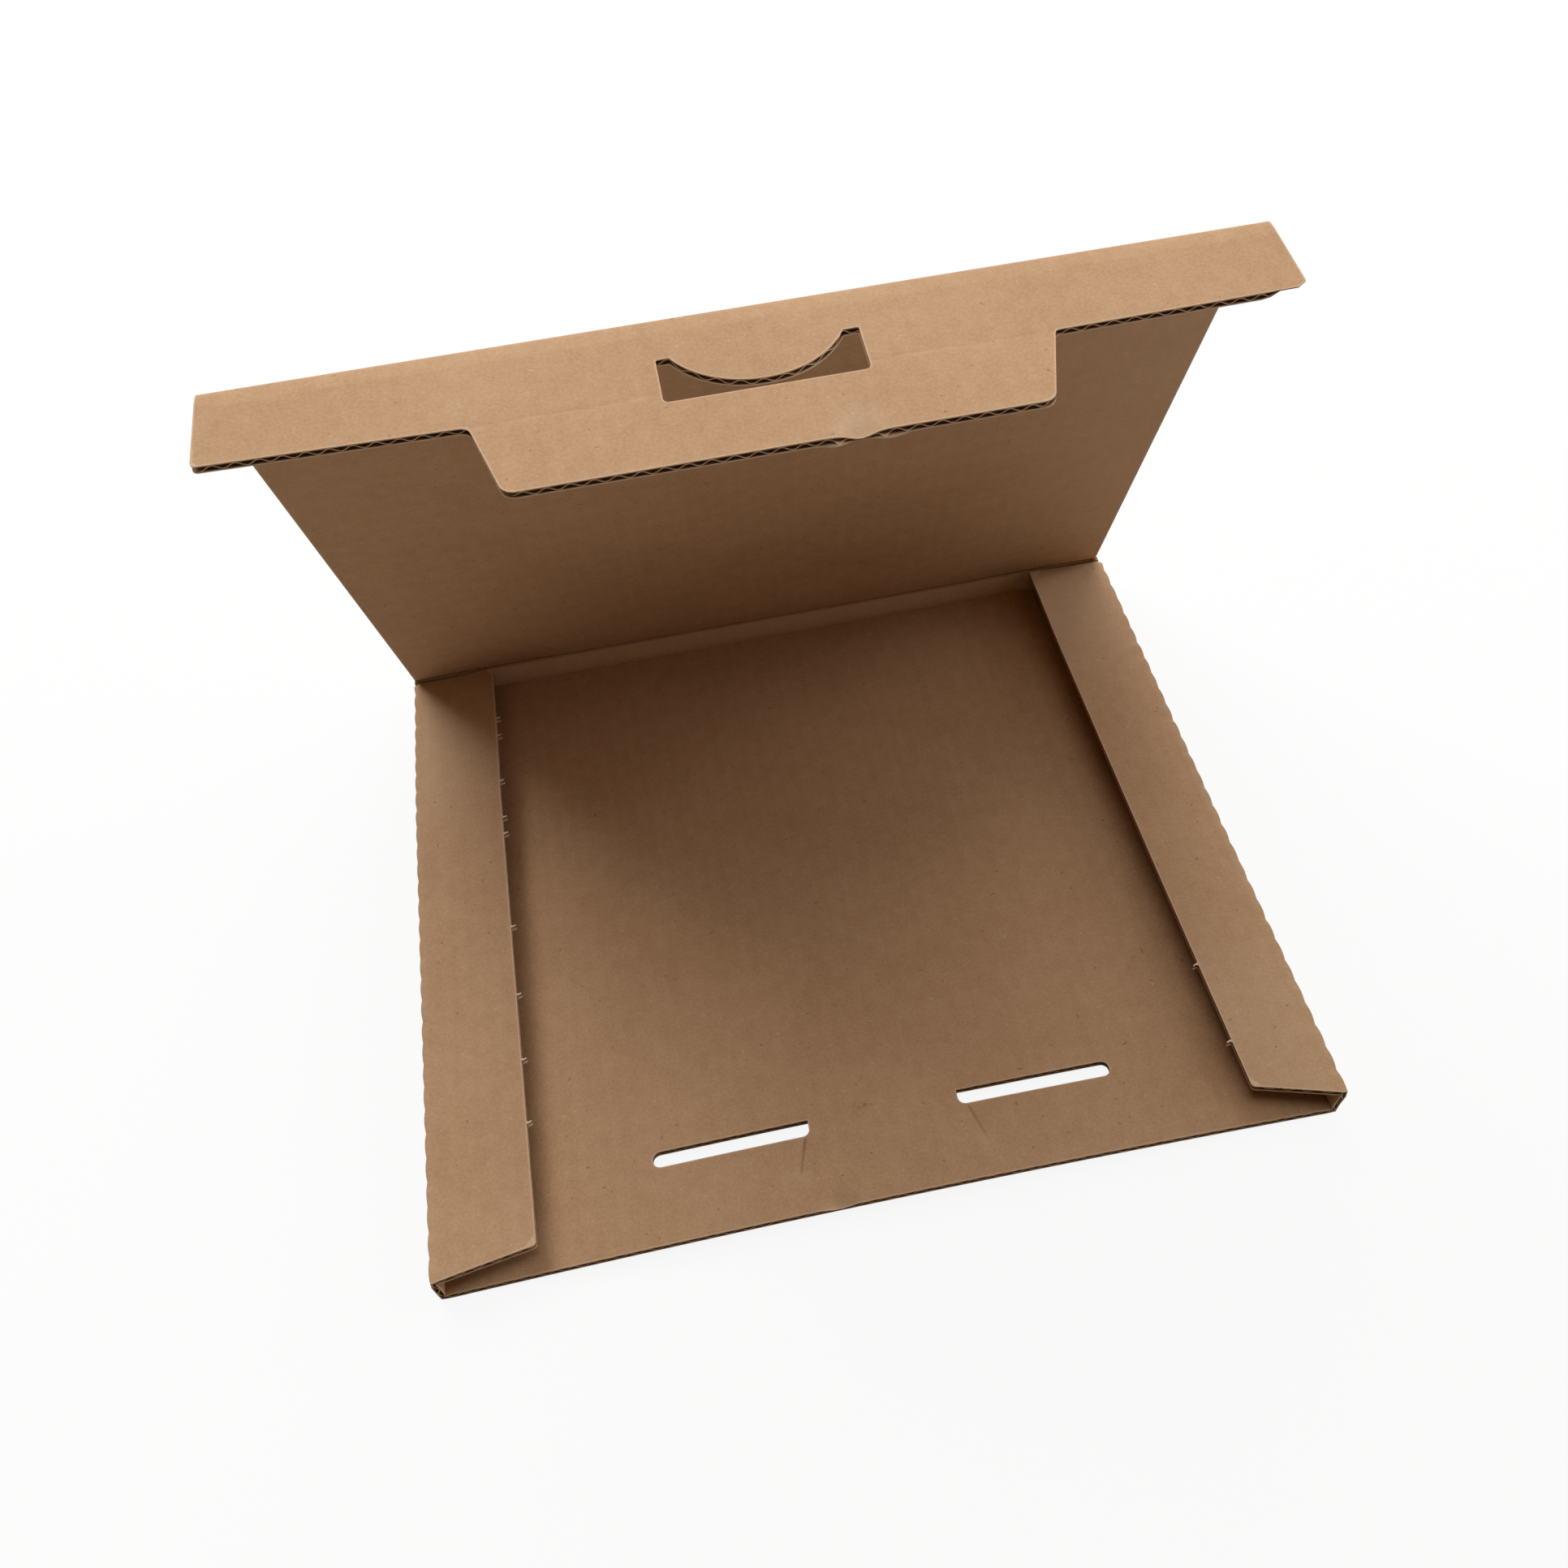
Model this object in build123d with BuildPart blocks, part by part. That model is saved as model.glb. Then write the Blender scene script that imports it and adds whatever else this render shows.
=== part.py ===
"""Record mailer box: one die-cut sheet of corrugated board, folded into a shallow tray.

The sheet runs, from its front end, as base, spine, lid, closing strip and tuck tongue, with a
side wall and a side flap along each side of the base. The flutes run from front to back, so every
edge that is cut across the sheet shows their open ends. Each crease that swings is a pivot line
at the middle of the board, and the panel beyond it ends in a half-round nose about that line.

Origin: middle of the base's underside. +Z is up, +X is to the right, and the open front faces -Y.
"""
import os
from math import atan2, cos, degrees, radians, sin

from build123d import *

# Board: two liners with a fluted paper between them
board = 2.8
liner = 0.4
medium = 0.4
medium_slant = 0.55
flute_pitch = 7.0
flute_crest = 1.0
edge_margin = 0.9

# Tray: base, spine, side walls and side flaps
tray_width = 350.0
tray_depth = 320.0
tray_height = 14.5
flap_width = 37.5
flap_setback = 9.0
flap_corner = 3.0
fold_radius = 2.0
fold_flat = 1.2
corner_gap = 0.5
rear_land = 4.0

# Perforated creases along both sides: the fold is nicked at every step
nick_pitch = 10.7
nick_width = 4.4
nick_depth = 0.6
nick_height = 2.6

# Locking slots near the front edge of the base
slot_length = 62.0
slot_width = 6.8
slot_corner = 3.0
slot_spacing = 122.0
slot_from_front = 38.0

# Lid
lid_width = 344.5
lid_length = 322.5
lid_lean = 28.8

# Closing strip beyond the lid's front fold
strip_width = 351.0
strip_depth = 38.0
strip_end_depth = 35.8
strip_shoulder = 0.3
strip_corner = 2.0
strip_droop = 3.5

# Tuck tongue beyond the strip's crease
tongue_width = 184.0
tongue_end_width = 167.0
tongue_length = 32.0
tongue_corner = 5.0
tongue_side_gap = 0.4

# Finger cut-out across the strip's crease, with a half-moon left standing in it
cutout_width = 65.0
cutout_start = 20.5
cutout_past_crease = 3.5
cutout_corner = 2.0
moon_chord = 56.6
moon_depth = 16.8

# Pivot lines
pivot_gap = 0.3
lid_gap = 0.2
nose_land = 3.0

# Derived places
half_board = board / 2
half_width = tray_width / 2
front_y = -tray_depth / 2
back_y = tray_depth / 2
spine_inner_y = back_y - board
wall_back_y = spine_inner_y - corner_gap
wall_length = wall_back_y - front_y
flap_inner_x = half_width - flap_width
flap_under_z = tray_height - board
pivot_clear = half_board + pivot_gap
lid_pivot_z = tray_height + lid_gap + half_board
spine_top = lid_pivot_z - pivot_clear
lid_end = lid_length - pivot_clear
tongue_seat = strip_depth - pivot_clear
shoulder_x = tongue_width / 2 + tongue_side_gap

# Panel runs: the way each panel goes from its pivot line
lean = radians(lid_lean)
droop = radians(strip_droop)
lid_run = Vector(0, -sin(lean), cos(lean))
strip_run = Vector(0, -cos(droop), -sin(droop))
lid_pivot = Vector(0, back_y - half_board, lid_pivot_z)
strip_pivot = lid_pivot + lid_run * lid_length
tongue_pivot = strip_pivot + strip_run * strip_depth


def section_plane(pivot, run, distance):
    """Plane square to a panel's run, at a distance from its pivot line."""
    return Plane(origin=pivot + run * distance, x_dir=(1, 0, 0), z_dir=run)


def panel_plane(pivot, run):
    """Plane of a panel, with its local Y along the run."""
    return Plane(origin=pivot, x_dir=(1, 0, 0), z_dir=Vector(1, 0, 0).cross(run))


def side_plane(pivot, run, x):
    """Plane square to a pivot line at x, with its local X along the run."""
    return Plane(origin=pivot + Vector(x, 0, 0), x_dir=run, z_dir=(1, 0, 0))


def flute_channels(width):
    """Air channels of a panel's section, above and below the fluted paper."""
    height = board - 2 * liner - medium
    slope = medium / height
    wide = (flute_pitch - flute_crest * (1 + slope) - 2 * medium_slant) / (1 - slope)
    slant = degrees(atan2(height, (wide - flute_crest) / 2))
    count = 2 * int((width / 2 - edge_margin - wide / 2) / flute_pitch) + 1
    rise = half_board - liner - height / 2
    with Locations((0, -rise)):
        with GridLocations(flute_pitch, 0, count, 1):
            Trapezoid(wide, height, slant)
    if count > 1:
        with Locations((0, rise)):
            with GridLocations(flute_pitch, 0, count - 1, 1):
                Trapezoid(wide, height, slant, rotation=180)


with BuildPart() as tray:
    # Base, side walls and side flaps wrap round in one section
    with BuildSketch(Plane.XZ.offset(-wall_back_y)) as wrap:
        with Locations((0, tray_height / 2)):
            Rectangle(tray_width, tray_height)
        chamfer(wrap.vertices(), length=fold_flat)
        with Locations((0, tray_height / 2)):
            Rectangle(tray_width - 2 * board, tray_height - 2 * board, mode=Mode.SUBTRACT)
        with Locations((0, tray_height - half_board)):
            Rectangle(2 * flap_inner_x, board, mode=Mode.SUBTRACT)
    extrude(amount=wall_length)

    # The flaps' front edges run back towards their inner corners
    with BuildSketch(Plane.XY.offset(flap_under_z)):
        for side in (-1, 1):
            with BuildLine():
                Polyline(
                    (side * half_width, front_y),
                    (side * flap_inner_x, front_y),
                    (side * flap_inner_x, front_y + flap_setback),
                    close=True,
                )
            make_face()
    extrude(amount=board, mode=Mode.SUBTRACT)
    flap_edges = tray.edges().filter_by(Axis.Z).filter_by_position(Axis.Z, flap_under_z, tray_height)
    fillet(flap_edges.group_by(Axis.Y)[1], radius=flap_corner)

    # The base turns up into the spine at its back edge
    with BuildSketch(Plane.YZ) as spine:
        with BuildLine():
            Polyline(
                (wall_back_y, 0),
                (back_y, 0),
                (back_y, spine_top),
                (spine_inner_y, spine_top),
                (spine_inner_y, board),
                (wall_back_y, board),
                close=True,
            )
        make_face()
        fillet(spine.vertices().group_by(Axis.Y)[-1].sort_by(Axis.Z)[0], radius=fold_radius)
    extrude(amount=half_width, both=True)

    # Flutes of the base, closed where the spine's crease crushes them
    with BuildSketch(Plane.XZ.offset(-front_y)):
        with Locations((0, half_board)):
            flute_channels(tray_width - 2 * board)
    extrude(amount=-(spine_inner_y - rear_land - front_y), mode=Mode.SUBTRACT)

    # Flutes of the side walls and flaps, open at both ends
    with BuildSketch(Plane.XZ.offset(-front_y)):
        for side in (-1, 1):
            with Locations((side * (flap_inner_x + (flap_width - board) / 2), tray_height - half_board)):
                flute_channels(flap_width - board)
            with Locations(Location((side * (half_width - half_board), tray_height / 2), 90)):
                flute_channels(tray_height - 2 * board)
    extrude(amount=-wall_length, mode=Mode.SUBTRACT)

    # Locking slots, each with one square corner: at the back, towards the middle
    with BuildSketch(Plane.XY) as slots:
        with Locations((0, front_y + slot_from_front)):
            with GridLocations(slot_spacing, 0, 2, 1):
                Rectangle(slot_length, slot_width)
        slot_corners = slots.vertices().sort_by(Axis.Y)
        back_corners = slot_corners[4:].sort_by(Axis.X)
        fillet(slot_corners[:4] + back_corners[:1] + back_corners[-1:], radius=slot_corner)
    extrude(amount=board, mode=Mode.SUBTRACT)

    # Nicks of the perforated creases, along the top and bottom folds of both walls
    nick_count = int(wall_length / nick_pitch)
    with BuildSketch(Plane.XY, Plane.XY.offset(tray_height - nick_height)):
        for side in (-1, 1):
            with Locations((side * half_width, (front_y + wall_back_y) / 2)):
                with GridLocations(0, nick_pitch, 1, nick_count):
                    Polygon(
                        (-side * nick_depth, 0),
                        (side * nick_depth, nick_width),
                        (side * nick_depth, -nick_width),
                        align=None,
                    )
    extrude(amount=nick_height, mode=Mode.SUBTRACT)

with BuildPart() as lid:
    with BuildSketch(side_plane(lid_pivot, lid_run, -lid_width / 2)):
        Circle(half_board)
        with Locations((lid_end / 2, 0)):
            Rectangle(lid_end, board)
    extrude(amount=lid_width)
    with BuildSketch(section_plane(lid_pivot, lid_run, lid_end)):
        flute_channels(lid_width)
    extrude(amount=-(lid_end - nose_land), mode=Mode.SUBTRACT)

with BuildPart() as closing_strip:
    with BuildSketch(side_plane(strip_pivot, strip_run, -strip_width / 2)):
        Circle(half_board)
        with Locations((strip_depth / 2, 0)):
            Rectangle(strip_depth, board)
    extrude(amount=strip_width)
    with BuildSketch(section_plane(strip_pivot, strip_run, strip_depth)):
        flute_channels(strip_width)
    extrude(amount=-(strip_depth - nose_land), mode=Mode.SUBTRACT)

    # Outline: ends tapered, seat for the tongue, finger cut-out with its half-moon
    with BuildSketch(panel_plane(strip_pivot, strip_run)) as strip_plan:
        with BuildLine():
            Polyline(
                (-strip_width / 2, -board),
                (strip_width / 2, -board),
                (strip_width / 2, strip_end_depth),
                (shoulder_x, strip_depth - strip_shoulder),
                (shoulder_x, tongue_seat),
                (-shoulder_x, tongue_seat),
                (-shoulder_x, strip_depth - strip_shoulder),
                (-strip_width / 2, strip_end_depth),
                close=True,
            )
        make_face()
        fillet(strip_plan.vertices().group_by(Axis.Y)[1], radius=strip_corner)
        with Locations((0, cutout_start)):
            Rectangle(cutout_width, strip_depth, align=(Align.CENTER, Align.MIN), mode=Mode.SUBTRACT)
        with BuildLine():
            ThreePointArc(
                (-moon_chord / 2, cutout_start),
                (0, cutout_start + moon_depth),
                (moon_chord / 2, cutout_start),
            )
            Line((moon_chord / 2, cutout_start), (-moon_chord / 2, cutout_start))
        make_face()
    extrude(amount=board, both=True, mode=Mode.INTERSECT)

with BuildPart() as tuck_tongue:
    with BuildSketch(side_plane(tongue_pivot, strip_run, -tongue_width / 2)):
        Circle(half_board)
        with Locations((tongue_length / 2, 0)):
            Rectangle(tongue_length, board)
    extrude(amount=tongue_width)
    with BuildSketch(section_plane(tongue_pivot, strip_run, tongue_length)):
        flute_channels(tongue_width)
    extrude(amount=-(tongue_length - nose_land), mode=Mode.SUBTRACT)

    # Outline: tapered sides, rounded corners, the far edge of the finger cut-out
    with BuildSketch(panel_plane(tongue_pivot, strip_run)) as tongue_plan:
        with BuildLine():
            Polyline(
                (-tongue_width / 2, -board),
                (tongue_width / 2, -board),
                (tongue_width / 2, 0),
                (tongue_end_width / 2, tongue_length),
                (-tongue_end_width / 2, tongue_length),
                (-tongue_width / 2, 0),
                close=True,
            )
        make_face()
        fillet(tongue_plan.vertices().group_by(Axis.Y)[-1], radius=tongue_corner)
        with Locations((0, cutout_past_crease)):
            RectangleRounded(
                cutout_width,
                cutout_start,
                cutout_corner,
                align=(Align.CENTER, Align.MAX),
                mode=Mode.SUBTRACT,
            )
    extrude(amount=board, both=True, mode=Mode.INTERSECT)

tray.part.label = "tray"
lid.part.label = "lid"
closing_strip.part.label = "closing_strip"
tuck_tongue.part.label = "tuck_tongue"

os.makedirs("parts", exist_ok=True)
export_step(tray.part, "parts/tray.step")
export_step(lid.part, "parts/lid.step")
export_step(closing_strip.part, "parts/closing_strip.step")
export_step(tuck_tongue.part, "parts/tuck_tongue.step")
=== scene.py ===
import math

import bpy
import numpy as np
from mathutils import Matrix, Vector
from mathutils.geometry import delaunay_2d_cdt


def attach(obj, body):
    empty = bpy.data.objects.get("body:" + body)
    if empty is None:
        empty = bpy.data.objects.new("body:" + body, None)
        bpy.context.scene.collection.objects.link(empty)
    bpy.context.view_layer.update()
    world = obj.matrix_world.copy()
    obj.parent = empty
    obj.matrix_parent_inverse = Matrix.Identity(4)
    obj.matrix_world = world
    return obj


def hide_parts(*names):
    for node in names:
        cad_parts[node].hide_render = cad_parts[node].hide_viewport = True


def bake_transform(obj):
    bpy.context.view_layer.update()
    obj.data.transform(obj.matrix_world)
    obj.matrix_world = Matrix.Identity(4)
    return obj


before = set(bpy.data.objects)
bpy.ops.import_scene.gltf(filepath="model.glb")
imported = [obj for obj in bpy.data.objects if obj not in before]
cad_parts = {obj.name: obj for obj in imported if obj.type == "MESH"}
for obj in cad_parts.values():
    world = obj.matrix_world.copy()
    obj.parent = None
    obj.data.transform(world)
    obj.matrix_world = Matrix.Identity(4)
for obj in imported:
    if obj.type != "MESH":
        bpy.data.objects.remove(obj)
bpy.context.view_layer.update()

# Sizes in millimetres, as in the part's source
T = 2.8
PITCH = 7.0
WIDTH, DEPTH, HEIGHT = 350.0, 320.0, 14.5
FLAP_WIDTH = 37.5
CORNER_GAP = 0.5
NICK_PITCH = 10.7
SLOT_LENGTH, SLOT_WIDTH, SLOT_SPACING, SLOT_FROM_FRONT, SLOT_CORNER = 62.0, 6.8, 122.0, 38.0, 3.0
LID_WIDTH, LID_LENGTH, LEAN = 344.5, 322.5, 28.8
STRIP_WIDTH, STRIP_DEPTH, STRIP_END, STRIP_SHOULDER, DROOP = 351.0, 38.0, 35.8, 37.7, 3.5
TONGUE_WIDTH, TONGUE_END_WIDTH, TONGUE_LENGTH = 184.0, 167.0, 32.0
CUTOUT_WIDTH, CUTOUT_START, CUTOUT_END = 65.0, 20.5, 41.5
MOON_CHORD, MOON_DEPTH = 56.6, 16.8
LID_PIVOT_Y, LID_PIVOT_Z = 158.6, 16.1

# How the folded sheet stands off its drawing: panels a little askew, base and walls sprung
LID_SHIFT, STRIP_SHIFT, TONGUE_SHIFT = -1.5, -0.4, -0.8
SLOT_SHIFT_X, SLOT_SHIFT_Y = 2.0, -1.9
BASE_ARCH = 4.5
SPLAY_LEFT, SPLAY_RIGHT, PINCH_RIGHT = 1.1, 4.0, 1.0
SPREAD_RIGHT, FRONT_SKEW = 1.1, 1.0
FLAP_SPRING, FLAP_SAG = 1.5, 0.6
STRIP_SKEW = 0.8
MOON_RIGHT = 0.965

# Paper: thickness of liners and fluting, the fluting's distance from cut edges, and its sink into the liners
LINER = 0.45
MEDIUM = 0.42
SIDE_GAP, END_GAP = 1.5, 0.06
SINK = 0.03
WAVE_STEPS = 10
WAVE_HEIGHT = T / 2 - LINER - MEDIUM / 2 + SINK

# Papers of a board, in the order of its materials
FACE, CUT, FLUTE = 0, 1, 2

# Meshes
MM = 0.001
CORNER_STEPS = 6
MERGE = 1e-4
RING_ROOM, EXTRA_ROOM = 0.35, 0.25
MEND_ROUNDS, THINNEST = 40, 0.02
COLUMN_INSET, COLUMN_START = 0.02, 0.05
CORNER_TURN, CORNER_INSET = 0.01, 0.011
SEAM_REACH = 0.02
SHARP_ANGLE = 32
FAR = 100.0

# Folds: radius of the middle line
FOLD = 0.75
HINGE_FOLD = 1.5
TOP_FOLD = 1.1
HINGE_STUB = 10.0
TOP_STUB = 10.0
STRIP_STUB = 8.0
NECK_START = 34.5

HALF = WIDTH / 2
FRONT = -DEPTH / 2
BACK = DEPTH / 2
WALL_BACK = BACK - T - CORNER_GAP


def unit(angle):
    """Unit vector at an angle in degrees."""
    return np.array((math.cos(math.radians(angle)), math.sin(math.radians(angle))))


class Path:
    """Middle line of a folded board in a plane: runs of (length, turn), where turns go to the inner side."""

    def __init__(self, start, heading, steps):
        rows = []
        u, p, a = 0.0, np.array(start, float), math.radians(heading)
        for length, turn in steps:
            turn = math.radians(turn)
            k = turn / length
            rows.append((u, p[0], p[1], a, k))
            if turn:
                p = p + np.array((math.sin(a + turn) - math.sin(a), math.cos(a) - math.cos(a + turn))) / k
            else:
                p = p + length * np.array((math.cos(a), math.sin(a)))
            a += turn
            u += length
        self.rows = np.array(rows)

    def at(self, u, h):
        """Points at distance u along the line and h to its inner side."""
        i = np.clip(np.searchsorted(self.rows[:, 0], u, side="right") - 1, 0, None)
        u0, px, py, a0, k = self.rows[i].T
        du = u - u0
        a = a0 + k * du
        safe = np.where(k == 0, 1.0, k)
        dx = np.where(k == 0, du * np.cos(a0), (np.sin(a) - np.sin(a0)) / safe)
        dy = np.where(k == 0, du * np.sin(a0), (np.cos(a0) - np.cos(a)) / safe)
        return px + dx - np.sin(a) * h, py + dy + np.cos(a) * h


def bump(x, centre, width):
    """Smooth hump of height 1."""
    return np.exp(-(((x - centre) / width) ** 2))


def smooth(x, low, high):
    """Smooth step from 0 at low to 1 at high."""
    t = np.clip((x - low) / (high - low), 0, 1)
    return t * t * (3 - 2 * t)


def segment_distance(x, y, a, b):
    """Distance from points to a segment, and the share along it."""
    ax, ay = a
    dx, dy = b[0] - ax, b[1] - ay
    t = np.clip(((x - ax) * dx + (y - ay) * dy) / (dx * dx + dy * dy), 0, 1)
    return np.hypot(x - ax - t * dx, y - ay - t * dy), t


# Panel folds as paths
QUARTER = FOLD * math.pi / 2
BASE_HALF = HALF - T / 2 - FOLD
WALL = HEIGHT - T - 2 * FOLD
FLAP_START = BASE_HALF + 2 * QUARTER + WALL
FLAP = FLAP_WIDTH - T / 2 - FOLD
LOW_FOLD = BASE_HALF + QUARTER / 2
HIGH_FOLD = FLAP_START - QUARTER / 2
tray_path = Path((0, T / 2), 0, [(BASE_HALF, 0), (QUARTER, 90), (WALL, 0), (QUARTER, 90), (FLAP, 0)])

BASE_BACK = BACK - T / 2 - FOLD
hinge_reach = HINGE_FOLD * math.tan(math.radians(LEAN / 2))
hinge_arc = HINGE_FOLD * math.radians(LEAN)
SPINE_RUN = LID_PIVOT_Z - hinge_reach - T / 2 - FOLD
HINGE_AT = QUARTER + SPINE_RUN + hinge_arc / 2
spine_path = Path(
    (BASE_BACK, T / 2),
    0,
    [(QUARTER, 90), (SPINE_RUN, 0), (hinge_arc, LEAN), (HINGE_STUB - hinge_reach, 0)],
)
SPINE_LENGTH = QUARTER + SPINE_RUN + hinge_arc + HINGE_STUB - hinge_reach

lid_run = unit(90 + LEAN)
lid_pivot = np.array((LID_PIVOT_Y, LID_PIVOT_Z))
strip_pivot = lid_pivot + lid_run * LID_LENGTH
lid_path = Path(lid_pivot, 90 + LEAN, [(LID_LENGTH, 0)])
strip_path = Path(strip_pivot, 180 + DROOP, [(STRIP_DEPTH + TONGUE_LENGTH, 0)])

TOP_TURN = 90 - LEAN + DROOP
top_reach = TOP_FOLD * math.tan(math.radians(TOP_TURN / 2))
top_arc = TOP_FOLD * math.radians(TOP_TURN)
TOP_AT = TOP_STUB - top_reach + top_arc / 2
top_path = Path(
    lid_pivot + lid_run * (LID_LENGTH - TOP_STUB),
    90 + LEAN,
    [(TOP_STUB - top_reach, 0), (top_arc, TOP_TURN), (STRIP_STUB - top_reach, 0)],
)
TOP_LENGTH = TOP_STUB - top_reach + top_arc + STRIP_STUB - top_reach

# Where each panel starts along the sheet, for the paper's grain
SPINE_V = BASE_BACK
LID_V = SPINE_V + HINGE_AT
TOP_V = LID_V + LID_LENGTH - TOP_STUB
STRIP_V = TOP_V + TOP_AT

# Dent at the tongue's edge, with the paper beside it flared out: places and widths
DENT_X, DENT_V = 22.5, STRIP_DEPTH + TONGUE_LENGTH
DENT_SIZE, DENT_DEPTH = (4.6, 6.0), 0.8
FLARES, FLARE_OUT, FLARE_RUN = ((-8.0, 3.6), (9.0, 4.4)), 1.5, 3.0

# Dent at the base's front edge, and the strip's crushed corner
BASE_DENT_X, BASE_DENT_SIZE, BASE_DENT_DEPTH = -22.5, (5.0, 4.0), 0.6
CRUSH_X, CRUSH_V, CRUSH_DEPTH = 163.0, 27.0, 0.84
CRUSH_ACROSS, CRUSH_ALONG = (161.5, 165.0), (21.0, 32.0)

# Stress lines at the slots: start, end and strength, then the groove's depth, width and loss along its run
STRESS_LINES = [
    ((-30.3, -128.3), (-34.6, -143.6), 1.0),
    ((35.2, -129.0), (39.4, -144.4), 0.8),
    ((-8.6, -119.6), (2.0, -119.8), 0.4),
]
STRESS_GROOVE = (0.25, 0.45, 0.6)

# Pale dashes on the tongue's crease, from left to right
CREASE_DASHES = [(-75.6, -69.9), (-43.9, -35.3), (39.6, 57.6)]

# Bits of paper left where the sheet was torn from its waste: places along the flaps' inner edges
LEFT_TUFTS = [123.3, 112.4, 83.5, 60.8, 51.0, -2.5, -38.6, -70.9, -100.4]
RIGHT_TUFTS = [-127.8, -89.7]


def loop(points, step):
    """Closed outline from (a, v) or (a, v, radius) corners, with its straight runs divided."""
    n = len(points)
    out = []
    for i in range(n):
        p = np.array(points[i][:2], float)
        radius = points[i][2] if len(points[i]) > 2 else 0
        if not radius:
            out.append(p)
            continue
        before = np.array(points[i - 1][:2], float) - p
        after = np.array(points[(i + 1) % n][:2], float) - p
        before /= np.linalg.norm(before)
        after /= np.linalg.norm(after)
        half = math.acos(np.clip(before @ after, -1, 1)) / 2
        reach = radius / math.tan(half)
        mid = before + after
        centre = p + mid / np.linalg.norm(mid) * radius / math.sin(half)
        start, end = p + before * reach - centre, p + after * reach - centre
        a0 = math.atan2(start[1], start[0])
        turn = (math.atan2(end[1], end[0]) - a0 + math.pi) % (2 * math.pi) - math.pi
        for j in range(CORNER_STEPS + 1):
            a = a0 + turn * j / CORNER_STEPS
            out.append(centre + radius * np.array((math.cos(a), math.sin(a))))
    divided = []
    for p, q in zip(out, out[1:] + out[:1]):
        count = max(1, math.ceil(np.linalg.norm(q - p) / step))
        divided += [p + (q - p) * j / count for j in range(count)]
    return np.array(divided)


def inside(points, ring):
    """Which points lie in a ring."""
    x, y = points[:, 0], points[:, 1]
    hit = np.zeros(len(points), bool)
    for (x0, y0), (x1, y1) in zip(ring, np.roll(ring, -1, axis=0)):
        if y0 == y1:
            continue
        crosses = (y0 > y) != (y1 > y)
        hit ^= crosses & (x < x0 + (y - y0) * (x1 - x0) / (y1 - y0))
    return hit


def ring_distance(points, ring):
    """Distance from points to a ring."""
    best = np.full(len(points), np.inf)
    for a, b in zip(ring, np.roll(ring, -1, axis=0)):
        best = np.minimum(best, segment_distance(points[:, 0], points[:, 1], a, b)[0])
    return best


def double_area(verts, faces):
    """Signed area of triangles, times two."""
    p, q, r = (verts[faces[:, k]] for k in range(3))
    return (q[:, 0] - p[:, 0]) * (r[:, 1] - p[:, 1]) - (q[:, 1] - p[:, 1]) * (r[:, 0] - p[:, 0])


def mend_slivers(verts, faces):
    """Turns the long edge of needle-thin triangles, which outlines with many points in line give."""
    for _ in range(MEND_ROUNDS):
        edges = verts[np.roll(faces, -1, axis=1)] - verts[faces]
        lengths = np.hypot(edges[..., 0], edges[..., 1])
        thin = np.flatnonzero(np.abs(double_area(verts, faces)) < THINNEST * lengths.max(axis=1))
        sides = {}
        for i, f in enumerate(faces.tolist()):
            for k in range(3):
                sides.setdefault(frozenset((f[k], f[(k + 1) % 3])), []).append(i)
        touched, dropped = set(), []
        for i in thin.tolist():
            if i in touched:
                continue
            a, c, b = np.roll(faces[i], -int(np.argmax(lengths[i]))).tolist()
            pair = [j for j in sides[frozenset((a, c))] if j != i]
            if touched.intersection(pair):
                continue
            touched.add(i)
            if pair:
                far = next(v for v in faces[pair[0]].tolist() if v not in (a, c))
                faces[i], faces[pair[0]] = (a, far, b), (far, c, b)
                touched.add(pair[0])
            else:
                dropped.append(i)
        faces = np.delete(faces, dropped, axis=0)
        if not touched:
            break
    turned = double_area(verts, faces) < 0
    faces[turned] = faces[turned][:, ::-1]
    return faces


def triangulate(rings, grid, extra):
    """Triangles of an outline with holes, with inner points on a grid."""
    low, high = rings[0].min(axis=0), rings[0].max(axis=0)
    count = np.maximum(1, np.ceil((high - low) / grid)).astype(int)
    xs = np.linspace(low[0], high[0], count[0] + 1)
    ys = np.linspace(low[1], high[1], count[1] + 1)
    points = np.stack(np.meshgrid(xs, ys), axis=-1).reshape(-1, 2)
    keep = inside(points, rings[0])
    for ring in rings:
        keep &= ring_distance(points, ring) > RING_ROOM * grid
    for ring in rings[1:]:
        keep &= ~inside(points, ring)
    if len(extra):
        near = np.min(np.hypot(*(points[:, None] - extra[None]).transpose(2, 0, 1)), axis=1)
        keep &= near > EXTRA_ROOM * grid
    parts = list(rings) + [points[keep]] + ([extra] if len(extra) else [])
    edges, first = [], 0
    for ring in rings:
        n = len(ring)
        edges += [(first + i, first + (i + 1) % n) for i in range(n)]
        first += n
    coords = [Vector(p) for p in np.concatenate(parts)]
    verts, _, faces, *_ = delaunay_2d_cdt(coords, edges, [], 0, MERGE, False)
    verts = np.array([tuple(v) for v in verts])
    faces = np.array([f for f in faces if len(f) == 3])
    centres = verts[faces].mean(axis=1)
    good = inside(centres, rings[0])
    for ring in rings[1:]:
        good &= ~inside(centres, ring)
    return verts, mend_slivers(verts, faces[good])


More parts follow.
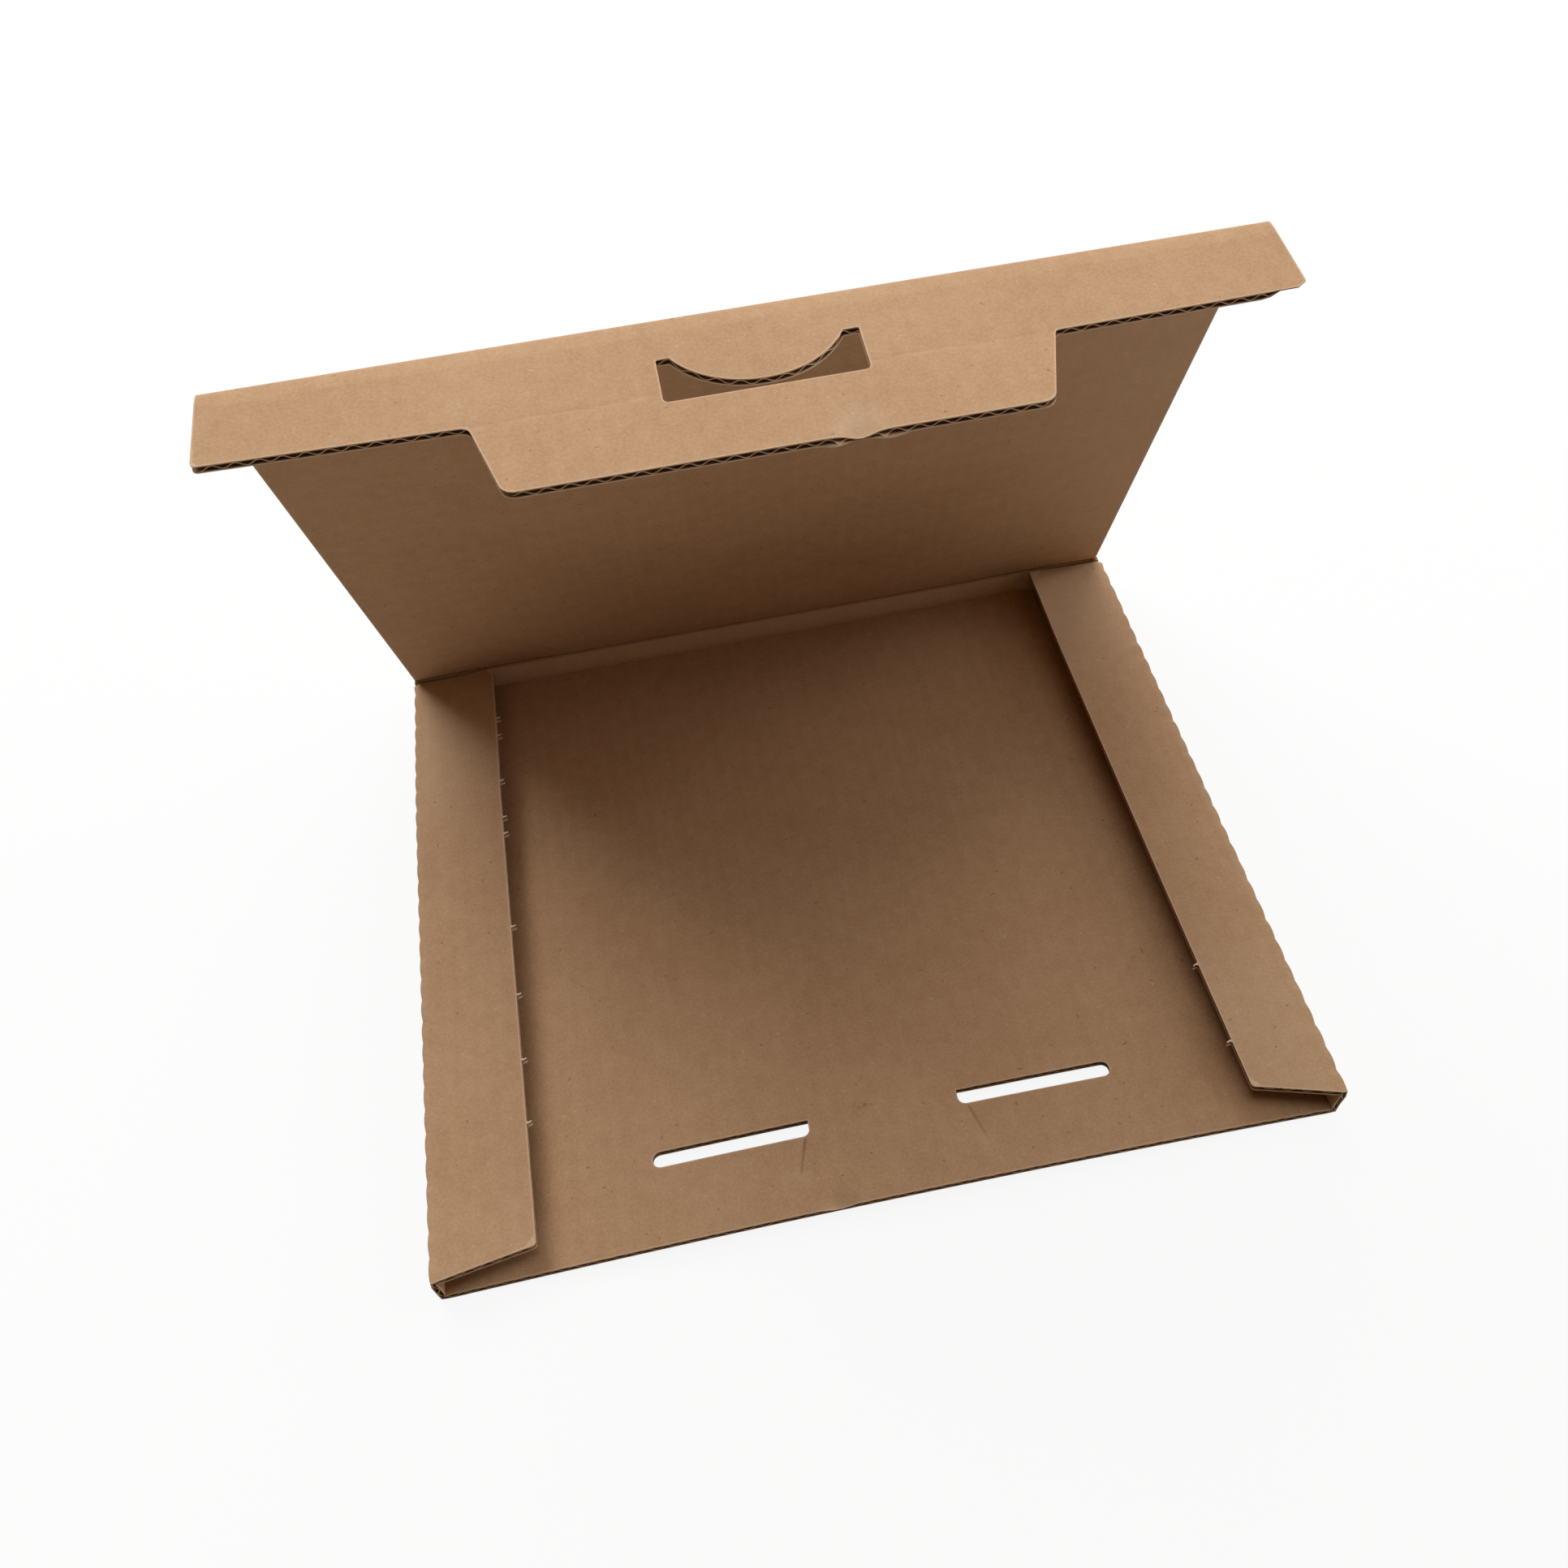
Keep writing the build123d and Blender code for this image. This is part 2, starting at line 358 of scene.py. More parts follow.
class Shell:
    """Gathers slabs of paper into one mesh."""

    def __init__(self):
        self.co, self.sheet, self.tone, self.rim, self.faces, self.kind = [], [], [], [], [], []
        self.count = 0

    def add(self, place, a, v, h, faces, kind, tone=None, v_start=0.0, rim=None):
        """Adds vertices at sheet coordinates a, v and height h in the board, with their faces."""
        self.co.append(np.stack(place(a, v, h), axis=-1))
        self.rim.append(np.full(len(a), FAR) if rim is None else rim)
        self.sheet.append(np.stack((a, v + v_start, h), axis=-1))
        self.tone.append(np.zeros(len(a)) if tone is None else tone(a, v, h))
        for f, k in zip(faces, kind):
            self.faces.append(tuple(int(i) + self.count for i in f))
            self.kind.append(k)
        self.count += len(a)

    def slab(self, place, verts, tris, low, high, **more):
        """Flat slab of paper between two heights in the board, with its face to the flutes as fluting."""
        n = len(verts)
        a, v = np.tile(verts[:, 0], 2), np.tile(verts[:, 1], 2)
        h = np.concatenate((np.full(n, high), np.full(n, low)))
        used = {}
        for t in tris:
            for i in range(3):
                p, q = int(t[i]), int(t[(i + 1) % 3])
                if (q, p) in used:
                    del used[(q, p)]
                else:
                    used[(p, q)] = True
        faces = [tuple(t) for t in tris] + [(t[2] + n, t[1] + n, t[0] + n) for t in tris]
        sides = [(q, p, p + n, q + n) for p, q in used]
        upper, lower = (FACE, FLUTE) if high > -low else (FLUTE, FACE)
        kind = [upper] * len(tris) + [lower] * len(tris) + [CUT] * len(sides)
        self.add(place, a, v, h, faces + sides, kind, **more)

    def wave(self, place, rings, row_step, **more):
        """Fluted paper: a wavy slab in columns across the outline."""
        low, high = rings[0].min(axis=0), rings[0].max(axis=0)
        step = PITCH / WAVE_STEPS
        first = math.ceil((low[0] + COLUMN_START) / step)
        columns = [low[0] + COLUMN_INSET, high[0] - COLUMN_INSET]
        columns += [i * step for i in range(first, int(high[0] / step) + 1)]
        for ring in rings:
            run = np.roll(ring, -1, axis=0) - ring
            heading = np.arctan2(run[:, 1], run[:, 0])
            turn = np.abs((heading - np.roll(heading, 1) + math.pi) % (2 * math.pi) - math.pi)
            corners = np.unique(np.round(ring[turn > CORNER_TURN, 0], 2))
            columns += list(corners - CORNER_INSET) + list(corners + CORNER_INSET)
        columns = sorted(c for c in set(columns) if low[0] < c < high[0])
        spans = []
        for c in columns:
            cuts = []
            for ring in rings:
                for (x0, y0), (x1, y1) in zip(ring, np.roll(ring, -1, axis=0)):
                    if (x0 > c) != (x1 > c):
                        cuts.append(y0 + (c - x0) * (y1 - y0) / (x1 - x0))
            cuts.sort()
            spans.append(list(zip(cuts[::2], cuts[1::2])))
        i = 0
        while i < len(columns):
            j = i
            while j + 1 < len(columns) and len(spans[j + 1]) == len(spans[i]):
                j += 1
            for k in range(len(spans[i])):
                run = [s[k] for s in spans[i:j + 1]]
                rows = max(2, math.ceil(max(end - start for start, end in run) / row_step) + 1)
                if j > i:
                    self.ribbon(place, columns[i:j + 1], run, rows, more)
            i = j + 1

    def ribbon(self, place, columns, spans, rows, more):
        """One piece of fluted paper: neighbouring columns, each with its span along the sheet."""
        a = np.repeat(np.array(columns), rows)
        share = np.tile(np.linspace(0, 1, rows), len(columns))
        s = np.repeat(np.array(spans), rows, axis=0)
        v = s[:, 0] + END_GAP + (s[:, 1] - s[:, 0] - 2 * END_GAP) * share
        middle = WAVE_HEIGHT * np.sin(2 * math.pi * a / PITCH)
        n = len(a)
        h = np.concatenate((middle + MEDIUM / 2, middle - MEDIUM / 2))
        faces, ends = [], []
        c = len(columns)
        for i in range(c - 1):
            for r in range(rows - 1):
                p = i * rows + r
                q = p + rows
                faces += [(p, q, q + 1, p + 1), (p + n, p + 1 + n, q + 1 + n, q + n)]
            p, q = i * rows, (i + 1) * rows
            ends.append((p, p + n, q + n, q))
            p, q = p + rows - 1, q + rows - 1
            ends.append((q, q + n, p + n, p))
        last = (c - 1) * rows
        for r in range(rows - 1):
            faces.append((r + 1, r + 1 + n, r + n, r))
            faces.append((last + r, last + r + n, last + r + 1 + n, last + r + 1))
        kind = [FLUTE] * len(faces) + [CUT] * len(ends)
        self.add(place, np.tile(a, 2), np.tile(v, 2), h, faces + ends, kind, **more)

    def object(self, name, materials):
        """The gathered mesh as an object, with the values that its materials read."""
        mesh = bpy.data.meshes.new(name)
        co = np.concatenate(self.co) * MM
        mesh.from_pydata(co.tolist(), [], self.faces)
        mesh.polygons.foreach_set("material_index", self.kind)
        mesh.polygons.foreach_set("use_smooth", [True] * len(mesh.polygons))
        mesh.set_sharp_from_angle(angle=math.radians(SHARP_ANGLE))
        sheet = mesh.attributes.new("sheet", "FLOAT_VECTOR", "POINT")
        sheet.data.foreach_set("vector", np.concatenate(self.sheet).astype(np.float32).ravel())
        tone = mesh.attributes.new("tone", "FLOAT", "POINT")
        tone.data.foreach_set("value", np.concatenate(self.tone).astype(np.float32))
        rim = mesh.attributes.new("rim", "FLOAT", "POINT")
        rim.data.foreach_set("value", np.concatenate(self.rim).astype(np.float32))
        for m in materials:
            mesh.materials.append(m)
        mesh.update()
        obj = bpy.data.objects.new(name, mesh)
        bpy.context.collection.objects.link(obj)
        return obj


def edge_distance(points, rings, seams):
    """Distance from points to the cut edges, which are all of the rings but the seams."""
    best = np.full(len(points), FAR)
    for ring in rings:
        for a, b in zip(ring, np.roll(ring, -1, axis=0)):
            x, y = (a + b) / 2
            if any(segment_distance(x, y, p, q)[0] < SEAM_REACH for p, q in seams):
                continue
            best = np.minimum(best, segment_distance(points[:, 0], points[:, 1], a, b)[0])
    return best


def board(
    name, outlines, place, row_step,
    v_start=0.0, holes=(), grid=8.0, extra=(), tone=None, seams=(),
):
    """One panel of corrugated board: two liners and the fluted paper between them."""
    shell = Shell()
    more = {"tone": tone, "v_start": v_start}
    for outline in outlines:
        rings = [outline] + list(holes)
        verts, tris = triangulate(rings, grid, np.array(extra).reshape(-1, 2))
        rim = np.tile(edge_distance(verts, rings, seams), 2)
        shell.slab(place, verts, tris, T / 2 - LINER, T / 2, rim=rim, **more)
        shell.slab(place, verts, tris, -T / 2, -T / 2 + LINER, rim=rim, **more)
        middle = (outline[:, 0].min() + outline[:, 0].max()) / 2
        reach = outline[:, 0].max() - middle
        narrowed = middle + (outline[:, 0] - middle) * (1 - SIDE_GAP / reach)
        core = np.stack((narrowed, outline[:, 1]), axis=-1)
        shell.wave(place, [core] + list(holes), row_step, **more)
    return shell.object(name, PAPERS)


class Nodes:
    """Small helper for node trees."""

    def __init__(self, tree):
        self.tree = tree

    def new(self, kind, inputs=(), **settings):
        """A node with its settings, and its inputs as values or links."""
        n = self.tree.nodes.new(kind)
        for key, value in settings.items():
            setattr(n, key, value)
        for key, value in dict(inputs).items():
            if isinstance(value, bpy.types.NodeSocket):
                self.tree.links.new(value, n.inputs[key])
            else:
                n.inputs[key].default_value = value
        return n

    def math(self, operation, a, b=0.0, clamp=False):
        """One sum."""
        n = self.new("ShaderNodeMath", {0: a, 1: b}, operation=operation, use_clamp=clamp)
        return n.outputs[0]

    def noise(self, vector, scale, detail):
        """Cloudy pattern between 0 and 1."""
        inputs = {"Vector": vector, "Scale": scale, "Detail": detail}
        return self.new("ShaderNodeTexNoise", inputs).outputs["Fac"]

    def stretch(self, vector, scale, angle):
        """Coordinates scaled, and turned in the sheet."""
        inputs = {"Vector": vector, "Scale": scale, "Rotation": (0, 0, angle)}
        return self.new("ShaderNodeMapping", inputs).outputs[0]

    def seen(self):
        """One for rays that show a surface, nought for those that only carry light."""
        path = self.new("ShaderNodeLightPath").outputs
        direct = self.math("ADD", path["Is Camera Ray"], path["Is Glossy Ray"])
        return self.math("ADD", direct, path["Is Transmission Ray"], True)

    def span(self, value, low, high, to_low, to_high):
        """A value's range eased on to another range."""
        inputs = {"Value": value, "From Min": low, "From Max": high, "To Min": to_low, "To Max": to_high}
        n = self.new("ShaderNodeMapRange", inputs, interpolation_type="SMOOTHSTEP")
        return n.outputs[0]


# Colours of kraft paper, from dark to pale, and the place of its usual tone between them
KRAFT_STOPS = [
    (0.0, (0.16, 0.075, 0.03, 1)),
    (0.25, (0.34, 0.19, 0.095, 1)),
    (0.5, (0.533, 0.332, 0.191, 1)),
    (0.75, (0.68, 0.47, 0.305, 1)),
    (1.0, (0.82, 0.64, 0.47, 1)),
]
USUAL_TONE = 0.5

# How much the flutes under the liner show as tone and as relief
WASHBOARD_TONE, WASHBOARD_RELIEF = 0.006, 3.0


def kraft(name, shift, rough):
    """Brown kraft paper with cloudy mottling, fibres, pale flecks and dark specks."""
    m = bpy.data.materials.new(name)
    m.use_nodes = True
    tree = m.node_tree
    tree.nodes.clear()
    n = Nodes(tree)
    sheet = n.new("ShaderNodeAttribute", attribute_name="sheet").outputs["Vector"]
    tone = n.new("ShaderNodeAttribute", attribute_name="tone").outputs["Fac"]
    rim = n.new("ShaderNodeAttribute", attribute_name="rim").outputs["Fac"]
    across = n.new("ShaderNodeSeparateXYZ", {0: sheet}).outputs[0]
    flutes = n.math("SINE", n.math("MULTIPLY", across, 2 * math.pi / PITCH))
    # Clouds, mottling and grain
    clouds = n.span(n.noise(sheet, 0.016, 2.0), 0.3, 0.7, -0.02, 0.02)
    mottling = n.span(n.noise(sheet, 0.13, 3.0), 0.3, 0.7, -0.02, 0.02)
    grain = n.span(n.noise(sheet, 0.9, 3.0), 0.3, 0.7, -0.035, 0.035)
    # Fibres along three directions, the last of them dark
    fibres = n.span(n.noise(n.stretch(sheet, (0.22, 2.4, 1.0), 0.5), 1.0, 1.0), 0.64, 0.74, 0.0, 0.035)
    steep = n.span(n.noise(n.stretch(sheet, (2.1, 0.2, 1.0), 0.35), 1.0, 1.0), 0.66, 0.76, 0.0, 0.03)
    dark = n.span(n.noise(n.stretch(sheet, (0.25, 2.0, 1.0), -0.6), 1.0, 1.0), 0.67, 0.77, 0.0, -0.035)
    # Pale flecks, dark and pale specks, cut edges paler from wear and from painted light, and the flutes
    # showing through
    flecks = n.span(n.noise(sheet, 0.42, 2.0), 0.68, 0.78, 0.0, 0.06)
    specks = n.span(n.noise(n.stretch(sheet, (0.55, 0.55, 1.0), 0.2), 1.0, 0.0), 0.83, 0.88, 0.0, -0.2)
    bits = n.span(n.noise(n.stretch(sheet, (0.5, 0.9, 1.0), 0.9), 1.0, 0.0), 0.82, 0.87, 0.0, 0.12)
    # Paler band along cut edges: partly worn fibres, partly painted light
    wear_and_edge_light = n.span(rim, 0.1, 0.8, 0.22, 0.0)
    washboard = n.math("MULTIPLY", flutes, WASHBOARD_TONE)
    total = n.math("ADD", tone, USUAL_TONE + shift)
    for part in (clouds, mottling, grain, fibres, steep, dark, flecks, specks, bits, wear_and_edge_light, washboard):
        total = n.math("ADD", total, part)
    ramp = n.new("ShaderNodeValToRGB", {0: total})
    elements = ramp.color_ramp.elements
    elements[0].position, elements[0].color = KRAFT_STOPS[0]
    elements[1].position, elements[1].color = KRAFT_STOPS[-1]
    for position, color in KRAFT_STOPS[1:-1]:
        elements.new(position).color = color
    height = n.math("ADD", n.math("ADD", grain, fibres), n.math("MULTIPLY", washboard, WASHBOARD_RELIEF))
    relief = n.new("ShaderNodeBump", {"Height": height, "Strength": 0.35, "Distance": 0.0006})
    shader = n.new(
        "ShaderNodeBsdfPrincipled",
        {
            "Base Color": ramp.outputs[0],
            "Roughness": rough,
            "Specular IOR Level": 0.12,
            "Normal": relief.outputs[0],
        },
    )
    n.new("ShaderNodeOutputMaterial", {0: shader.outputs[0]})
    return m


PAPERS = [
    kraft("kraft_liner", shift=0.0, rough=0.86),
    # Cut edges set paler: partly the cut paper's own paleness, partly painted light
    kraft("kraft_cut_edge", shift=0.34, rough=0.95),
    # Fluting set darker: partly its darker paper, partly painted shade inside the flutes
    kraft("kraft_fluting", shift=-0.3, rough=0.95),
]


# Creases: width and crushed share of the thickness, at the square folds, the swinging panels and the tongue
CREASE_WIDTH, CREASE_CRUSH = 1.6, 0.52
HINGE_WIDTH, TOP_WIDTH, PANEL_CRUSH = 2.2, 2.0, 0.42
TONGUE_CREASE_WIDTH, TONGUE_CREASE_CRUSH = 0.9, 0.08
GROOVE_WIDTH, GROOVE_DEPTH, GROOVE_TOP = 0.5, 0.4, 0.8

# Nicks of the side folds: depth, its change along the fold and the waves of that change
NICK_DEPTH, NICK_CHANGE, NICK_WAVES = 0.8, 0.3, (0.37, 0.11)

# Outer corner of the side folds: how square it is, how much less at a nick, and how deep a nick bites
SQUARENESS, SQUARENESS_LOSS, NICK_BITE = 0.85, 0.35, 0.4

# Where the sample's bends begin, and the room that the lid leaves for the flaps' corners
SPLAY_START, SPRING_RUN, ARCH_START, SPREAD_START = 0.3, 60.0, 120.0, 60.0
ROOM_MARGIN, ROOM_SIDES, ROOM_START = 3.0, (95.0, 130.0), 1.5
LID_BOW = 0.9


def inward(h):
    """Share of the way from the outer face to the inner face."""
    return np.clip(h / T + 0.5, 0, 1)


def squeeze(u, centre, width, depth):
    """Share of the board's thickness left near a crease."""
    return 1 - depth * bump(u, centre, width)


def base_dent(s, y):
    """Dent at the base's front edge."""
    return bump(s, BASE_DENT_X, BASE_DENT_SIZE[0]) * bump(y, FRONT, BASE_DENT_SIZE[1])


def stress(s, y, h, depth, width, loss):
    """Stress lines on the inner face."""
    total = 0.0
    for a, b, strength in STRESS_LINES:
        d, t = segment_distance(s, y, a, b)
        total = total + depth * strength * bump(d, 0.0, width) * (1 - loss * t)
    return np.where(h > 0, total, 0.0)


def tray_at(s, y, h):
    """Place in the tray: s runs across the sheet from the middle of the base."""
    side = np.where(s < 0, -1.0, 1.0)
    u = np.abs(s)
    fold = bump(u, LOW_FOLD, CREASE_WIDTH) + bump(u, HIGH_FOLD, CREASE_WIDTH)
    outer = np.clip(-h / (T / 2), 0, 1)
    h = h * np.where(h > 0, 1 - CREASE_CRUSH * fold, 1.0)
    turn = np.maximum(1 - np.abs(u - LOW_FOLD) / (QUARTER / 2), 1 - np.abs(u - HIGH_FOLD) / (QUARTER / 2))
    mitre = (FOLD + T / 2) * (1 / np.cos(math.pi / 4 * np.clip(turn, 0, 1)) - 1)
    change = np.sin(NICK_WAVES[0] * y + side) * np.sin(NICK_WAVES[1] * y)
    nick = (1 - np.abs(np.sin(math.pi * y / NICK_PITCH))) * (NICK_DEPTH + NICK_CHANGE * change)
    h = h - outer * (mitre * (SQUARENESS - SQUARENESS_LOSS * nick) - NICK_BITE * nick * fold)
    h = h - BASE_DENT_DEPTH * base_dent(s, y) * (h + T / 2)
    h = h - stress(s, y, h, *STRESS_GROOVE)
    x, z = tray_path.at(u, h)
    back = np.clip((WALL_BACK - y) / DEPTH, 0, 1)
    up = smooth(u, BASE_HALF, FLAP_START)
    splay_left = SPLAY_LEFT * smooth(back, 0, SPLAY_START)
    x = x + up * np.where(s < 0, splay_left, SPLAY_RIGHT * back - PINCH_RIGHT)
    along = np.clip((u - FLAP_START) / FLAP, 0, 1)
    spring = smooth(y, WALL_BACK - SPRING_RUN, WALL_BACK)
    z = z + along**2 * (FLAP_SPRING * spring - FLAP_SAG * (1 - spring))
    z = z + BASE_ARCH * np.clip(1 - (u / BASE_HALF) ** 2, 0, None) * smooth(y, ARCH_START, FRONT)
    x = x + SPREAD_RIGHT * back**3 * smooth(s, SPREAD_START, BASE_HALF)
    return side * x, y - FRONT_SKEW * side * x / HALF * back, z


def flap_room(x, v):
    """How far the flaps' raised rear corners have pressed the lid's inner face in."""
    along = np.clip((BASE_HALF + ROOM_MARGIN - np.abs(x)) / FLAP, 0, 1)
    spring = smooth(LID_PIVOT_Y + ROOM_MARGIN - v, WALL_BACK - SPRING_RUN, WALL_BACK)
    return FLAP_SPRING * along**2 * spring * smooth(np.abs(x), *ROOM_SIDES)


def spine_at(x, u, h):
    """Place in the spine and the lid's crease: u runs up from the base's rear edge."""
    inner = inward(h)
    h = h * squeeze(u, HINGE_AT, HINGE_WIDTH, PANEL_CRUSH)
    h = h * squeeze(u, QUARTER / 2, CREASE_WIDTH, CREASE_CRUSH)
    h = h - GROOVE_DEPTH * bump(u, HINGE_AT, GROOVE_WIDTH) * np.clip(h / GROOVE_TOP, 0, 1)
    h = h - inner * flap_room(x, u - HINGE_AT) * smooth(u, HINGE_AT, HINGE_AT + ROOM_START)
    y, z = spine_path.at(u, h)
    return x, y, z


def lid_at(x, v, h):
    """Place in the lid, which bows out a little: v runs up from its hinge."""
    share = np.clip((v - HINGE_STUB) / (LID_LENGTH - HINGE_STUB - TOP_STUB), 0, 1)
    bow = LID_BOW * np.sin(math.pi * share)
    h = h - inward(h) * flap_room(x, v)
    y, z = lid_path.at(v, h - bow * np.cos(math.pi * x / LID_WIDTH))
    return x, y, z


def top_at(x, u, h):
    """Place in the fold between lid and strip: u runs from the lid to the strip."""
    y, z = top_path.at(u, h * squeeze(u, TOP_AT, TOP_WIDTH, PANEL_CRUSH))
    return x, y, z


def strip_at(x, v, h):
    """Place in the strip and the tongue: v runs from the lid's front fold."""
    h = h * squeeze(v, STRIP_DEPTH, TONGUE_CREASE_WIDTH, TONGUE_CREASE_CRUSH)
    dent = bump(x, DENT_X, DENT_SIZE[0]) * bump(v, DENT_V, DENT_SIZE[1])
    h = h + DENT_DEPTH * dent * (T / 2 - h)
    flare = sum(bump(x, DENT_X + beside, width) for beside, width in FLARES)
    v = v + FLARE_OUT * flare * smooth(v, DENT_V - FLARE_RUN, DENT_V) * np.clip(2 * h - 1, 0, 1)
    crush = smooth(x, *CRUSH_ACROSS) * smooth(v, *CRUSH_ALONG)
    h = h - CRUSH_DEPTH * crush * (h + T / 2)
    y, z = strip_path.at(v, h)
    return x, y, z


# Tray's tones: creases, painted shade on the base under the flaps with less at its front lip, painted light
# on the flaps' ends from outside, marks of use with painted shade along the stress lines
FOLD_TONE, FOLD_TONE_WIDTH = 0.05, 1.2
UNDER_FLAP_SHADE, UNDER_FLAP = -0.18, (122.0, 140.0)
LIP_LOSS, LIP = 0.6, (-130.0, -152.0)
FLAP_RIM = 4.0
FLAP_REAR_LIGHT, REAR_END = 0.14, (40.0, 130.0)
RIGHT_FLAP_FRONT_LIGHT, FRONT_END = 0.08, (-40.0, -120.0)
BASE_DENT_TONE = 0.1
STRESS_SHADE = (0.28, 0.5, 0.5)
STRESS_END_TONE, STRESS_END_WIDTH = 0.09, 2.2
TUFT_TONE, TUFT_REACH, TUFT_EDGE = 0.4, 1.5, (-0.1, 0.9)

# Spine's tones: painted light on its face, painted shade at the ends of it behind the flaps, and painted
# shade in its two creases
SPINE_FACE_LIGHT, SPINE_FOOT, SPINE_HEAD = 0.34, (0.4, 1.4), (0.9, 2.0)
SPINE_END_SHADE, SPINE_END = 0.6, (-1.0, 3.0)
HINGE_SHADE, FOOT_SHADE, FOOT_SHADE_WIDTH = 0.4, 0.35, 0.6

# Lid's tones: painted light on its right side and painted shade on its low middle, fading out at both ends
LID_FOOT_FADE, LID_HEAD_FADE = 60.0, 30.0
LID_RIGHT_LIGHT, LID_RIGHT = 0.11, (40.0, 165.0)
LID_MIDDLE_SHADE, LID_LOW, LID_MIDDLE = 0.1, (190.0, 60.0), (170.0, 60.0)

# Tongue's tones: its dent, pale crushed paper with painted light against the shade of its slope, the flared
# paper, pale fibres with painted light on them, and the dashes on its crease
DENT_TONE, DENT_TONE_SIZE, DENT_TONE_BACK = 0.24, (5.5, 4.5), 5.0
FLARE_TONE, FLARE_TONES, FLARE_TONE_REACH, FLARE_PLY = 0.35, ((-8.0, 4.0), (9.0, 5.0)), 2.0, 0.5
DASH_TONE, DASH_WIDTH, DASH_BACK, DASH_FADE = 0.1, 0.45, 0.2, 1.0


def tray_tone(s, y, h):
    """Tone of the tray's paper, with painted shade under the flaps and along the stress lines, and painted
    light on the flaps' ends.
    """
    u = np.abs(s)
    tone = FOLD_TONE * (bump(u, HIGH_FOLD, FOLD_TONE_WIDTH) + bump(u, LOW_FOLD, FOLD_TONE_WIDTH))
    # Painted shade on the inner face under the flaps, weaker at the front lip
    under_flap_shade = smooth(u, *UNDER_FLAP) * smooth(u, HIGH_FOLD, LOW_FOLD) * (1 - LIP_LOSS * smooth(y, *LIP))
    flap = smooth(u, HIGH_FOLD, HIGH_FOLD + FLAP_RIM)
    # Painted light on the flaps' outer face, at their rear ends and at the right flap's front
    painted_flap_light = FLAP_REAR_LIGHT * smooth(y, *REAR_END) + RIGHT_FLAP_FRONT_LIGHT * smooth(y, *FRONT_END) * (s > 0)
    tone = tone + np.where(h > 0, UNDER_FLAP_SHADE * under_flap_shade, flap * painted_flap_light)
    tone = tone + BASE_DENT_TONE * base_dent(s, y)
    # Painted shade along the stress lines' grooves
    tone = tone - stress(s, y, h, *STRESS_SHADE)
    for _, b, strength in STRESS_LINES:
        end = np.hypot(s - b[0], y - b[1])
        tone = tone + np.where(h > 0, STRESS_END_TONE * strength * bump(end, 0.0, STRESS_END_WIDTH), 0.0)
    for tuft_s, tuft_y in TUFTS:
        out = (s - tuft_s) * np.sign(tuft_s)
        tone = tone + np.where(np.abs(y - tuft_y) < TUFT_REACH, TUFT_TONE * smooth(out, *TUFT_EDGE), 0.0)
    return tone


def spine_tone(x, u, h):
    """Tone of the spine's paper: painted light on its face, painted shade behind the flaps and in its
    creases.
    """
    # Painted light on the spine's face, painted shade at its ends behind the flaps
    face = smooth(u - QUARTER, *SPINE_FOOT) * smooth(HINGE_AT - u, *SPINE_HEAD)
    shade_behind_flaps = smooth(np.abs(x) - HALF + FLAP_WIDTH, *SPINE_END)
    tone = (SPINE_FACE_LIGHT - SPINE_END_SHADE * shade_behind_flaps) * face
    # Painted shade in the hinge crease and at the spine's foot
    tone = tone - HINGE_SHADE * bump(u, HINGE_AT, GROOVE_WIDTH)
    return tone - FOOT_SHADE * bump(u, QUARTER / 2, FOOT_SHADE_WIDTH)


def lid_tone(x, v, h):
    """Tone of the lid's inner face: painted light on its right side, painted shade on its low middle."""
    foot = smooth(v - HINGE_STUB, 0.0, LID_FOOT_FADE)
    head = smooth(LID_LENGTH - TOP_STUB - v, 0.0, LID_HEAD_FADE)
    # Painted shade on the low middle and painted light on the right side
    low_middle_shade = smooth(v, *LID_LOW) * smooth(np.abs(x), *LID_MIDDLE)
    tone = LID_RIGHT_LIGHT * smooth(x, *LID_RIGHT) - LID_MIDDLE_SHADE * low_middle_shade
    return np.where(h > 0, foot * head * tone, 0.0)


def strip_tone(x, v, h):
    """Tone of the tongue's paper and of its crease, with painted light in the pale dent and on the pale
    flared paper.
    """
    dent = bump(x, DENT_X, DENT_TONE_SIZE[0]) * bump(v, DENT_V - DENT_TONE_BACK, DENT_TONE_SIZE[1])
    flare = sum(bump(x, DENT_X + beside, width) for beside, width in FLARE_TONES)
    flare = flare * bump(v, DENT_V, FLARE_TONE_REACH)
    # Dent and flares: pale paper, with painted light added
    tone = DENT_TONE * dent + np.where(h > FLARE_PLY, FLARE_TONE * flare, 0.0)
    for low, high in CREASE_DASHES:
        dash = smooth(x, low - DASH_FADE, low + DASH_FADE) * smooth(x, high + DASH_FADE, high - DASH_FADE)
        tone = tone + DASH_TONE * dash * bump(v, STRIP_DEPTH - DASH_BACK, DASH_WIDTH)
    return tone


# Tray: base, walls and flaps as one wrapped sheet, with the flaps' inner edges a little off the drawing
BASE_INSET = 1.0
LEFT_SETBACK, RIGHT_SETBACK = 7.0, 10.6
FLAP_FRONT_CORNER, FLAP_BACK_CORNER = 1.8, 1.0
flap_end = FLAP_START + FLAP
left_back, left_front = flap_end + 1.0, flap_end + 2.5
right_back, right_front = flap_end + 0.5, flap_end - 2.6
base_edge = BASE_HALF - BASE_INSET


def flap_edge(y, back, front, setback):
    """Place of a flap's inner edge across the sheet."""
    return back + (front - back) * (WALL_BACK - y) / (WALL_BACK - FRONT - setback)


def tuft(edge, y, way):
    """Small torn tab on an edge that runs along y."""
    shape = [(0.0, -0.8), (1.0, -0.35), (2.0, -0.75), (2.2, -0.3), (1.2, 0.2), (0.0, 0.5)]
    return [(edge + out, y + along * way) for out, along in shape]


